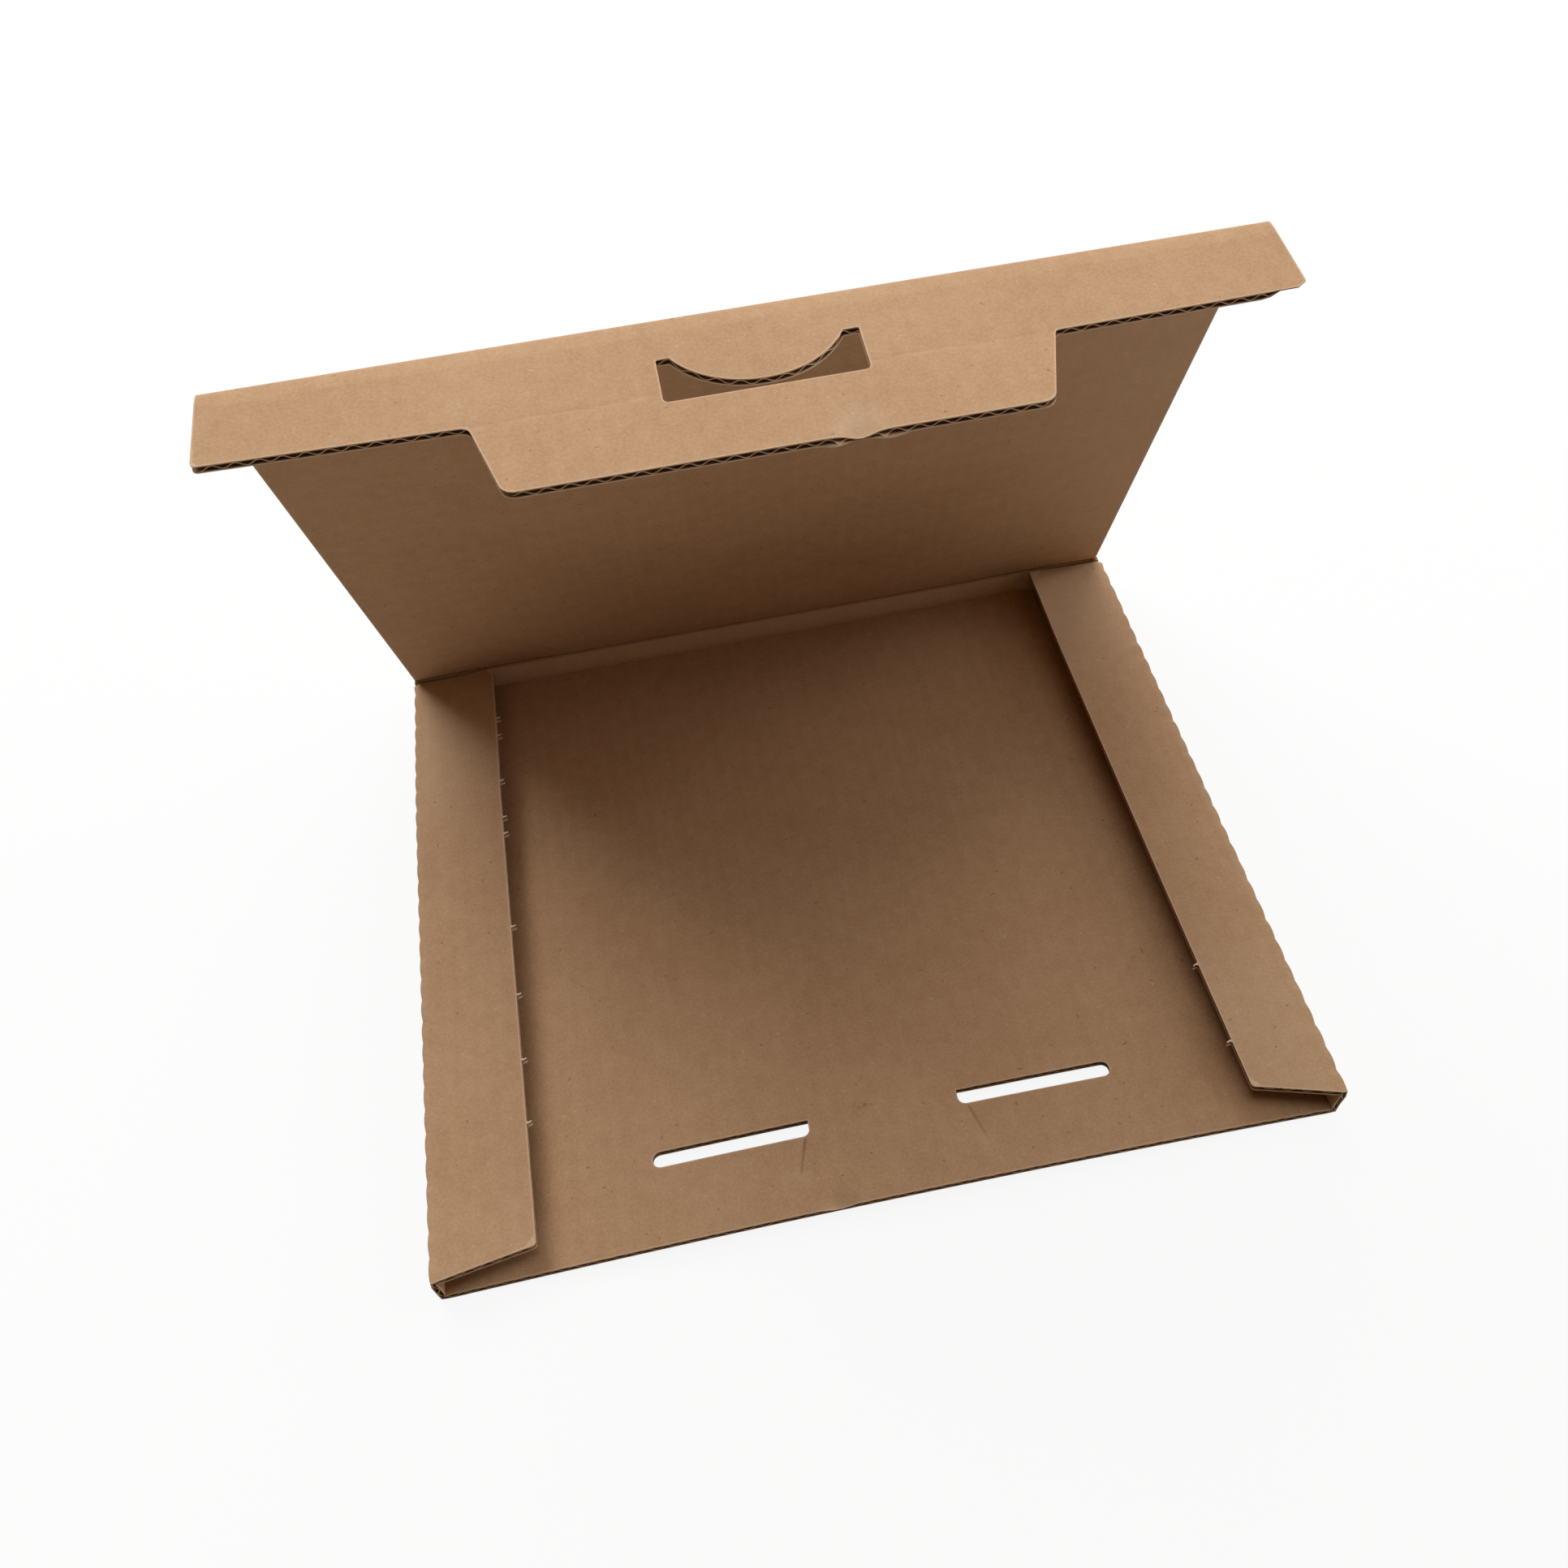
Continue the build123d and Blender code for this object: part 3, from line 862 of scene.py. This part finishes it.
TUFTS, left_tabs, right_tabs = [], [], []
for y in LEFT_TUFTS:
    edge = flap_edge(y, left_back, left_front, LEFT_SETBACK)
    TUFTS.append((-edge, y))
    left_tabs += [(-a, b) for a, b in tuft(edge, y, -1)]
for y in RIGHT_TUFTS:
    edge = flap_edge(y, right_back, right_front, RIGHT_SETBACK)
    TUFTS.append((edge, y))
    right_tabs += tuft(edge, y, 1)
side_lines = (BASE_HALF, LOW_FOLD, HIGH_FOLD, FLAP_START)
tray_outline = loop(
    [
        (-left_front, FRONT + LEFT_SETBACK, FLAP_FRONT_CORNER),
        *[(-a, FRONT) for a in side_lines[::-1]],
        *[(a, FRONT) for a in side_lines],
        (right_front, FRONT + RIGHT_SETBACK, FLAP_FRONT_CORNER),
        *right_tabs,
        (right_back, WALL_BACK, FLAP_BACK_CORNER),
        (FLAP_START, WALL_BACK),
        (BASE_HALF, WALL_BACK),
        (base_edge, WALL_BACK),
        (base_edge, BASE_BACK),
        (-base_edge, BASE_BACK),
        (-base_edge, WALL_BACK),
        (-BASE_HALF, WALL_BACK),
        (-FLAP_START, WALL_BACK),
        (-left_back, WALL_BACK, FLAP_BACK_CORNER),
        *left_tabs,
    ],
    step=2.5,
)
slot_low = FRONT + SLOT_FROM_FRONT + SLOT_SHIFT_Y - SLOT_WIDTH / 2
slot_high = slot_low + SLOT_WIDTH
slots = []
for side in (-1, 1):
    near = side * (SLOT_SPACING - SLOT_LENGTH) / 2 + SLOT_SHIFT_X
    far = side * (SLOT_SPACING + SLOT_LENGTH) / 2 + SLOT_SHIFT_X
    slots.append(
        loop(
            [
                (near, slot_low, SLOT_CORNER),
                (far, slot_low, SLOT_CORNER),
                (far, slot_high, SLOT_CORNER),
                (near, slot_high),
            ],
            step=4.0,
        )
    )

# Points for a finer mesh at the tray's folds, stress lines, tufts and dent
NICK_ROWS, ROW_MARGIN = 6, 1.0
fold_rows = (-2.2, -1.3, -0.59, -0.3, 0.0, 0.3, 0.59, 1.3, 2.2)
stress_rows = (-1.1, -0.5, 0.0, 0.5, 1.1)
STRESS_FIRST, STRESS_PAST, STRESS_STEP = 0.6, 1.5, 1.0
tuft_rows, TUFT_BACK = (-1.2, -0.4, 0.3, 1.0), 0.6
base_dent_rows = (1.5, 3.0, 4.5, 6.0)
nick_step = NICK_PITCH / NICK_ROWS
first_row = math.ceil((FRONT + ROW_MARGIN) / nick_step)
last_row = int((WALL_BACK - ROW_MARGIN) / nick_step)
nick_rows = np.arange(first_row, last_row + 1) * nick_step
tray_extra = []
for side in (-1, 1):
    for fold in (LOW_FOLD, HIGH_FOLD):
        tray_extra += [(side * (fold + k), y) for k in fold_rows for y in nick_rows]
for a, b, _ in STRESS_LINES:
    a, b = np.array(a), np.array(b)
    run = (b - a) / np.linalg.norm(b - a)
    across = np.array((-run[1], run[0]))
    for t in np.arange(STRESS_FIRST, np.linalg.norm(b - a) + STRESS_PAST, STRESS_STEP):
        tray_extra += [a + run * t + across * k for k in stress_rows]
for s, y in TUFTS:
    tray_extra += [(s - TUFT_BACK * np.sign(s), y + dy) for dy in tuft_rows]
for dx in np.arange(-9, 9.1, 1.5):
    tray_extra += [(BASE_DENT_X + dx, FRONT + dy) for dy in base_dent_rows]
tray = board(
    "tray_sheet",
    [tray_outline],
    tray_at,
    holes=slots,
    grid=9.0,
    row_step=12.0,
    extra=tray_extra,
    tone=tray_tone,
    seams=[((-base_edge, BASE_BACK), (base_edge, BASE_BACK))],
)
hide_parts("tray")
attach(tray, "tray")

# Rows of points along a crease
ROW_INSET, ROW_POINTS = 1.5, 160


def rows_across(left, right, rows):
    """Points in rows across the sheet, for a finer mesh at a crease."""
    places = np.linspace(left + ROW_INSET, right - ROW_INSET, ROW_POINTS)
    return [(x, row) for x in places for row in rows]


# Spine, with the lid's crease at its top
SPINE_FOOT_STEP, SPINE_HEAD_STEP = 0.5, 1.5
lid_left, lid_right = LID_SHIFT - LID_WIDTH / 2, LID_SHIFT + LID_WIDTH / 2
spine_left, spine_right = -HALF + 0.4, HALF - 2.2
foot_rows = (0.3, 0.6, 0.9, 1.3, 2.2)
hinge_rows = (-2.0, -1.2, -0.7, -0.35, 0.0, 0.35, 0.7, 1.2, 2.0)
spine_extra = rows_across(lid_left, lid_right, [HINGE_AT + k for k in hinge_rows])
spine_extra += rows_across(-base_edge, base_edge, foot_rows)
spine_outline = loop(
    [
        (-base_edge, 0),
        (base_edge, 0),
        (spine_right, SPINE_FOOT_STEP),
        (spine_right, HINGE_AT - SPINE_HEAD_STEP),
        (lid_right, HINGE_AT),
        (lid_right, SPINE_LENGTH),
        (lid_left, SPINE_LENGTH),
        (lid_left, HINGE_AT),
        (spine_left, HINGE_AT - SPINE_HEAD_STEP),
        (spine_left, SPINE_FOOT_STEP),
    ],
    step=4.0,
)
spine = board(
    "spine_and_lid_crease",
    [spine_outline],
    spine_at,
    v_start=SPINE_V,
    row_step=1.0,
    extra=spine_extra,
    tone=spine_tone,
    seams=[((-base_edge, 0), (base_edge, 0)), ((lid_left, SPINE_LENGTH), (lid_right, SPINE_LENGTH))],
)
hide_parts("tray", "lid")
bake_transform(spine)

# Lid
lid_outline = loop(
    [
        (lid_left, HINGE_STUB),
        (lid_right, HINGE_STUB),
        (lid_right, LID_LENGTH - TOP_STUB),
        (lid_left, LID_LENGTH - TOP_STUB),
    ],
    step=4.0,
)
lid = board(
    "lid_panel",
    [lid_outline],
    lid_at,
    v_start=LID_V,
    grid=12.0,
    row_step=30.0,
    tone=lid_tone,
    seams=[
        ((lid_left, HINGE_STUB), (lid_right, HINGE_STUB)),
        ((lid_left, LID_LENGTH - TOP_STUB), (lid_right, LID_LENGTH - TOP_STUB)),
    ],
)
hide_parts("lid")
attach(lid, "lid")

# Fold between lid and closing strip, where the strip is wider than the lid
TOP_STEP_START, TOP_STEP_END = 2.8, 1.4
strip_left, strip_right = STRIP_SHIFT - STRIP_WIDTH / 2, STRIP_SHIFT + STRIP_WIDTH / 2
top_rows = (-1.6, -0.8, -0.3, 0.3, 0.8, 1.6)
top_extra = rows_across(lid_left, lid_right, [TOP_AT + k for k in top_rows])
for x in (strip_left + 1.2, strip_right - 1.2, strip_right - 2.4):
    top_extra += [(x, TOP_AT + k) for k in top_rows[1:]]
top_fold_outline = loop(
    [
        (lid_left, 0),
        (lid_right, 0),
        (lid_right, TOP_AT - TOP_STEP_START),
        (strip_right, TOP_AT - TOP_STEP_END),
        *[(strip_right, TOP_AT + k) for k in top_rows[1:]],
        (strip_right, TOP_LENGTH),
        (strip_left, TOP_LENGTH),
        *[(strip_left, TOP_AT + k) for k in top_rows[:0:-1]],
        (strip_left, TOP_AT - TOP_STEP_END),
        (lid_left, TOP_AT - TOP_STEP_START),
    ],
    step=4.0,
)
top_fold = board(
    "lid_to_strip_crease",
    [top_fold_outline],
    top_at,
    v_start=TOP_V,
    row_step=1.0,
    extra=top_extra,
    seams=[((lid_left, 0), (lid_right, 0)), ((strip_left, TOP_LENGTH), (strip_right, TOP_LENGTH))],
)
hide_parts("lid", "closing_strip")
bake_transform(top_fold)

# Closing strip with its finger cut-out and half-moon
MOON_STEPS = 12
SHOULDER_GAP = 0.4
CUTOUT_CORNER, STRIP_CORNER, CHAMFER_CORNER = 0.6, 2.0, 0.8
CHAMFER_X, CHAMFER_V = 3.4, 2.6
cut_half = CUTOUT_WIDTH / 2
moon_half = MOON_CHORD / 2
moon_radius = (moon_half**2 + MOON_DEPTH**2) / (2 * MOON_DEPTH)
moon_centre = CUTOUT_START + MOON_DEPTH - moon_radius
moon_turn = math.asin(moon_half / moon_radius)
moon = []
for i in range(2 * MOON_STEPS + 1):
    a = moon_turn * (1 - i / MOON_STEPS)
    reach = moon_radius * math.sin(a) * (MOON_RIGHT if a > 0 else 1.0)
    moon.append((TONGUE_SHIFT + reach, moon_centre + moon_radius * math.cos(a)))
shoulder = TONGUE_WIDTH / 2 + SHOULDER_GAP
crush_extra = [
    (CRUSH_X + dx, CRUSH_V + dv)
    for dx in (-3.0, -1.5, 0.0, 1.5, 3.0, 5.5, 8.0)
    for dv in (-7.0, -4.5, -2.0, 0.5, 3.0, 5.5)
]
neck_seams = []
for side in (-1, 1):
    inner, outer = TONGUE_SHIFT + side * cut_half, TONGUE_SHIFT + side * shoulder
    neck_seams.append(((inner, NECK_START), (outer, NECK_START)))
    neck_seams.append(((outer, NECK_START), (outer, STRIP_SHOULDER)))
strip_outline = loop(
    [
        (strip_left, STRIP_STUB),
        (strip_right, STRIP_STUB),
        (strip_right, STRIP_END + STRIP_SKEW - CHAMFER_V, CHAMFER_CORNER),
        (strip_right - CHAMFER_X, STRIP_END + STRIP_SKEW, CHAMFER_CORNER),
        (TONGUE_SHIFT + shoulder, STRIP_SHOULDER),
        (TONGUE_SHIFT + shoulder, NECK_START),
        (TONGUE_SHIFT + cut_half, NECK_START),
        (TONGUE_SHIFT + cut_half, CUTOUT_START, CUTOUT_CORNER),
        *moon,
        (TONGUE_SHIFT - cut_half, CUTOUT_START, CUTOUT_CORNER),
        (TONGUE_SHIFT - cut_half, NECK_START),
        (TONGUE_SHIFT - shoulder, NECK_START),
        (TONGUE_SHIFT - shoulder, STRIP_SHOULDER),
        (strip_left, STRIP_END - STRIP_SKEW, STRIP_CORNER),
    ],
    step=3.0,
)
strip = board(
    "closing_strip_panel",
    [strip_outline],
    strip_at,
    v_start=STRIP_V,
    grid=6.0,
    row_step=10.0,
    extra=crush_extra,
    seams=[((strip_left, STRIP_STUB), (strip_right, STRIP_STUB))] + neck_seams,
)
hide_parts("closing_strip")
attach(strip, "closing_strip")

# Necks across the tongue's crease, with a small web at their outer corners
NECK_CORNER = 2.0
NECK_STEPS = 6
LEFT_WEB, RIGHT_WEB, WEB_RISE = 2.6, 0.9, 0.2
taper = (TONGUE_WIDTH - TONGUE_END_WIDTH) / 2 / TONGUE_LENGTH
neck_end_half = TONGUE_WIDTH / 2 - taper * (CUTOUT_END - STRIP_DEPTH)
neck_inner = cut_half - NECK_CORNER
edge_slope = (STRIP_SHOULDER - STRIP_END) / (STRIP_WIDTH / 2 - shoulder)
necks, tongue_seams = [], []
for side, reach in ((-1, LEFT_WEB), (1, RIGHT_WEB)):
    corner = []
    for a in np.linspace(math.pi / 2, 0, NECK_STEPS):
        corner_v = CUTOUT_END - NECK_CORNER + NECK_CORNER * math.sin(a)
        corner.append((side * (neck_inner + NECK_CORNER * math.cos(a)), corner_v))
    start = np.array((shoulder + reach, STRIP_SHOULDER - edge_slope * reach))
    bend = np.array((TONGUE_WIDTH / 2, STRIP_DEPTH - WEB_RISE))
    end = np.array((TONGUE_WIDTH / 2 - taper * reach, STRIP_DEPTH + reach))
    web = []
    for t in np.linspace(0, 1, NECK_STEPS):
        web.append((1 - t) ** 2 * start + 2 * t * (1 - t) * bend + t * t * end)
    ring = [
        (side * cut_half, NECK_START),
        (side * shoulder, NECK_START),
        (side * shoulder, STRIP_SHOULDER),
        *[(side * a, v) for a, v in web],
        (side * neck_end_half, CUTOUT_END),
        (side * neck_inner, CUTOUT_END),
    ] + corner[1:]
    necks.append(loop([(TONGUE_SHIFT + a, v) for a, v in ring], step=3.0))
    inner, outer = TONGUE_SHIFT + side * neck_inner, TONGUE_SHIFT + side * neck_end_half
    tongue_seams.append(((inner, CUTOUT_END), (outer, CUTOUT_END)))
neck_extra = [
    (TONGUE_SHIFT + side * x, STRIP_DEPTH + k)
    for side in (-1, 1)
    for x in np.arange(cut_half + 1.5, TONGUE_WIDTH / 2 - 1, 3.0)
    for k in (-1.8, -1.1, -0.5, 0.0, 0.5, 1.1, 1.8)
]
neck = board(
    "tongue_crease",
    necks,
    strip_at,
    v_start=STRIP_V,
    grid=4.0,
    row_step=0.8,
    extra=neck_extra,
    tone=strip_tone,
    seams=neck_seams + tongue_seams,
)
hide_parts("closing_strip", "tuck_tongue")
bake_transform(neck)

# Tuck tongue
TONGUE_CORNER = 5.0
tongue_extra = [
    (DENT_X + dx, DENT_V - dv)
    for dx in np.arange(-12, 12.1, 1.5)
    for dv in (1.5, 3.0, 4.5, 6.5, 8.5, 11.0)
]
tongue_outline = loop(
    [
        (TONGUE_SHIFT - neck_end_half, CUTOUT_END),
        (TONGUE_SHIFT - neck_inner, CUTOUT_END),
        (TONGUE_SHIFT + neck_inner, CUTOUT_END),
        (TONGUE_SHIFT + neck_end_half, CUTOUT_END),
        (TONGUE_SHIFT + TONGUE_END_WIDTH / 2, DENT_V, TONGUE_CORNER),
        (TONGUE_SHIFT - TONGUE_END_WIDTH / 2, DENT_V, TONGUE_CORNER),
    ],
    step=2.0,
)
tongue = board(
    "tuck_tongue_panel",
    [tongue_outline],
    strip_at,
    v_start=STRIP_V,
    grid=5.0,
    row_step=3.0,
    extra=tongue_extra,
    tone=strip_tone,
    seams=tongue_seams,
)
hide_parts("tuck_tongue")
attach(tongue, "tuck_tongue")

# Floor: white to the eye, and a softer white for the light it throws back
FLOOR_HALF, FLOOR_Z = 6, -0.0004
FLOOR_GLOW = 0.9
floor_corners = [(x * FLOOR_HALF, y * FLOOR_HALF, FLOOR_Z) for x, y in ((-1, -1), (1, -1), (1, 1), (-1, 1))]
floor_mesh = bpy.data.meshes.new("floor")
floor_mesh.from_pydata(floor_corners, [], [(0, 1, 2, 3)])
floor = bpy.data.objects.new("floor", floor_mesh)
bpy.context.collection.objects.link(floor)
floor_paint = bpy.data.materials.new("floor_paint")
floor_paint.use_nodes = True
floor_paint.node_tree.nodes.clear()
nodes = Nodes(floor_paint.node_tree)
dull = nodes.new("ShaderNodeBsdfDiffuse", {"Color": (0.6, 0.56, 0.52, 1)})
shaded = nodes.new("ShaderNodeBsdfDiffuse", {"Color": (0.9, 0.9, 0.9, 1)})
plain = nodes.new("ShaderNodeEmission", {"Color": (1, 1, 1, 1), "Strength": 1.0})
bright = nodes.new("ShaderNodeMixShader", {0: FLOOR_GLOW, 1: shaded.outputs[0], 2: plain.outputs[0]})
mixed = nodes.new("ShaderNodeMixShader", {0: nodes.seen(), 1: dull.outputs[0], 2: bright.outputs[0]})
nodes.new("ShaderNodeOutputMaterial", {0: mixed.outputs[0]})
floor_mesh.materials.append(floor_paint)

# Light: a weak even sky, white to the eye, and large soft lamps above, mostly from behind
world = bpy.data.worlds.new("studio")
bpy.context.scene.world = world
world.use_nodes = True
world.node_tree.nodes.clear()
nodes = Nodes(world.node_tree)
sky = nodes.new("ShaderNodeBackground", {"Color": (1.0, 0.56, 0.16, 1), "Strength": 0.066})
white = nodes.new("ShaderNodeBackground", {"Color": (1, 1, 1, 1), "Strength": 1.0})
backdrop = nodes.new("ShaderNodeMixShader", {0: nodes.seen(), 1: sky.outputs[0], 2: white.outputs[0]})
nodes.new("ShaderNodeOutputWorld", {0: backdrop.outputs[0]})

# Lamps: name, place in metres, size and power. All face the middle of the box
LAMP_AIM = Vector((0, -0.02, 0.15))
LAMPS = [
    ("lamp_overhead", (0.0, 0.0, 2.2), 1.4, 11.0),
    ("lamp_right", (2.0, 0.0, 0.9), 1.2, 7.0),
    ("lamp_right_low", (2.0, 0.3, 0.35), 0.8, 14.0),
    ("lamp_right_high", (1.3, 0.0, 1.9), 1.2, 4.0),
    ("lamp_front_right", (1.6, -1.2, 0.5), 1.0, 0.8),
    ("lamp_back_left", (-1.1, 1.4, 1.6), 1.2, 25.2),
    ("lamp_back_right", (1.1, 1.4, 1.6), 1.2, 7.2),
    ("lamp_back", (0.0, 1.8, 1.4), 1.2, 20.5),
]
for name, place, size, energy in LAMPS:
    lamp_data = bpy.data.lights.new(name, "AREA")
    lamp_data.size = size
    lamp_data.energy = energy
    lamp = bpy.data.objects.new(name, lamp_data)
    lamp.location = place
    aim = LAMP_AIM - lamp.location
    lamp.rotation_euler = aim.to_track_quat("-Z", "Y").to_euler()
    bpy.context.collection.objects.link(lamp)

# Camera at the photo's place
camera_data = bpy.data.cameras.new("camera")
camera_data.sensor_width = 36
camera_data.lens = 40.18718
camera_data.shift_x = -0.062043
camera_data.shift_y = -0.047967
camera_data.clip_start = 0.01
camera = bpy.data.objects.new("camera", camera_data)
right = (0.97803684, -0.20146722, -0.05343118)
up = (0.1829007, 0.70662121, 0.68354502)
backward = (-0.09995631, -0.67830482, 0.72795007)
turn = Matrix((right, up, backward)).transposed().to_4x4()
camera.matrix_world = Matrix.Translation((-0.03880654, -0.47993223, 0.61901043)) @ turn
bpy.context.collection.objects.link(camera)
bpy.context.scene.camera = camera
bpy.context.scene.view_settings.view_transform = "Standard"
